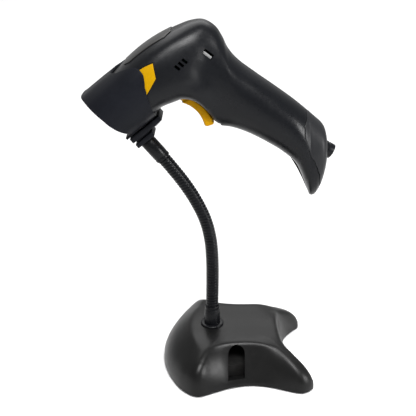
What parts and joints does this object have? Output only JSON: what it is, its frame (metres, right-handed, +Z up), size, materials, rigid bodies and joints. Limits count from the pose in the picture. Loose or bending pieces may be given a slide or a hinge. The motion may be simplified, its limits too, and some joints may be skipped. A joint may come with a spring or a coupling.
{
  "type": "barcode scanner with gooseneck stand",
  "caption": "Handheld pistol-grip barcode scanner resting nose-first in a cup cradle on a flexible gooseneck with a weighted lobed base.",
  "frame": {"origin": "centre of the base footprint at the underside of the anti-slip pad", "axes": "+Z up, +X from the scanner nose towards its handle, +Y away from the viewer"},
  "size_m": [0.1705, 0.1046, 0.2587],
  "materials": {
    "accent_yellow": "satin",
    "base_dark_grey": "matt grain",
    "board_green": "solder mask",
    "buzzer_black": "matt",
    "cast_iron": "as cast",
    "cup_black_plastic": "satin",
    "engine_grey": "matt",
    "latch_grey": "matt",
    "led_clear": "clear moulded",
    "lens_glass": "polished",
    "neck_black_metal": "satin black",
    "panel_black_gloss": "semi-gloss",
    "rubber_black": "matt",
    "satin_black_plastic": "fine satin grain",
    "screw_steel": "zinc plated",
    "socket_brass": "bright",
    "trigger_yellow": "satin",
    "window_red": "polished dark red"
  },
  "bodies": {
    "base": {"base_shell": "base_dark_grey", "antislip_pad": "rubber_black", "base_cover": "base_dark_grey", "base_weight": "cast_iron", "base_screw_1": "screw_steel", "base_screw_2": "screw_steel", "base_screw_3": "screw_steel", "base_screw_4": "screw_steel", "base_flange_ring": "neck_black_metal", "lower_collar": "neck_black_metal", "neck_stem": "screw_steel", "neck_nut": "screw_steel"},
    "neck_1": {"neck_segment_1": "neck_black_metal"},
    "neck_2": {"neck_segment_2": "neck_black_metal"},
    "neck_3": {"neck_segment_3": "neck_black_metal"},
    "neck_4": {"neck_segment_4": "neck_black_metal"},
    "neck_5": {"neck_segment_5": "neck_black_metal"},
    "neck_6": {"neck_segment_6": "neck_black_metal"},
    "neck_7": {"neck_segment_7": "neck_black_metal"},
    "neck_8": {"neck_segment_8": "neck_black_metal"},
    "cradle": {"neck_top_stem": "neck_black_metal", "upper_sleeve": "neck_black_metal", "mounting_shoe": "cup_black_plastic", "shoe_screw": "screw_steel", "cradle_cup": "cup_black_plastic"},
    "trigger": {"trigger": "trigger_yellow"},
    "scanner": {"housing_left": "satin_black_plastic", "housing_right": "satin_black_plastic", "housing_screw_1": "screw_steel", "housing_screw_2": "screw_steel", "top_panel": "panel_black_gloss", "accent_left": "accent_yellow", "accent_right": "accent_yellow", "side_latch_left": "latch_grey", "side_latch_right": "latch_grey", "nose_bezel": "satin_black_plastic", "scan_window": "window_red", "engine_bulkhead": "engine_grey", "scan_engine": "engine_grey", "engine_lens": "lens_glass", "illumination_led_left": "led_clear", "illumination_led_right": "led_clear", "main_board": "board_green", "trigger_switch": "buzzer_black", "beeper": "buzzer_black", "trigger_pin": "screw_steel", "handle_end_cap": "satin_black_plastic", "cable_gland": "satin_black_plastic", "cable_socket": "socket_brass"}
  },
  "joints": [
    {"name": "neck_bend_1", "type": "hinge", "parent": "base", "child": "neck_1", "pos_m": [-0.0218, 0, 0.0506], "axis": [0, 1, 0], "range_deg": [-8, 8]},
    {"name": "neck_sway_2", "type": "hinge", "parent": "neck_1", "child": "neck_2", "pos_m": [-0.02161, 0, 0.06524], "axis": [1, 0, -0.0048], "range_deg": [-9, 9]},
    {"name": "neck_bend_3", "type": "hinge", "parent": "neck_2", "child": "neck_3", "pos_m": [-0.02166, 0, 0.07988], "axis": [0, 1, 0], "range_deg": [-8, 8]},
    {"name": "neck_sway_4", "type": "hinge", "parent": "neck_3", "child": "neck_4", "pos_m": [-0.02238, 0, 0.09451], "axis": [0.9948, 0, 0.102], "range_deg": [-9, 9]},
    {"name": "neck_bend_5", "type": "hinge", "parent": "neck_4", "child": "neck_5", "pos_m": [-0.02464, 0, 0.10896], "axis": [0, 1, 0], "range_deg": [-8, 8]},
    {"name": "neck_sway_6", "type": "hinge", "parent": "neck_5", "child": "neck_6", "pos_m": [-0.02919, 0, 0.12286], "axis": [0.9249, 0, 0.3803], "range_deg": [-9, 9]},
    {"name": "neck_bend_7", "type": "hinge", "parent": "neck_6", "child": "neck_7", "pos_m": [-0.03574, 0, 0.13595], "axis": [0, 1, 0], "range_deg": [-8, 8]},
    {"name": "neck_sway_8", "type": "hinge", "parent": "neck_7", "child": "neck_8", "pos_m": [-0.04364, 0, 0.14827], "axis": [0.822, 0, 0.5694], "range_deg": [-9, 9]},
    {"name": "neck_bend_9", "type": "hinge", "parent": "neck_8", "child": "cradle", "pos_m": [-0.0524, 0, 0.16], "axis": [0, 1, 0], "range_deg": [-8, 8]},
    {"name": "scanner_lift_out", "type": "slide", "parent": "cradle", "child": "scanner", "axis": [0.766, 0, 0.6428], "range_m": [0, 0.06]},
    {"name": "trigger_pull", "type": "hinge", "parent": "scanner", "child": "trigger", "pos_m": [-0.04322, 0, 0.21128], "axis": [0, -1, 0], "range_deg": [0, 6], "stiffness_Nm_per_rad": 0.35, "springref_deg": -5.73}
  ],
  "couplings": [
    {"joint": "neck_bend_3", "follows": "neck_bend_1", "ratio": 1},
    {"joint": "neck_sway_4", "follows": "neck_sway_2", "ratio": 1},
    {"joint": "neck_bend_5", "follows": "neck_bend_1", "ratio": 1},
    {"joint": "neck_sway_6", "follows": "neck_sway_2", "ratio": 1},
    {"joint": "neck_bend_7", "follows": "neck_bend_1", "ratio": 1},
    {"joint": "neck_sway_8", "follows": "neck_sway_2", "ratio": 1},
    {"joint": "neck_bend_9", "follows": "neck_bend_1", "ratio": 1}
  ]
}
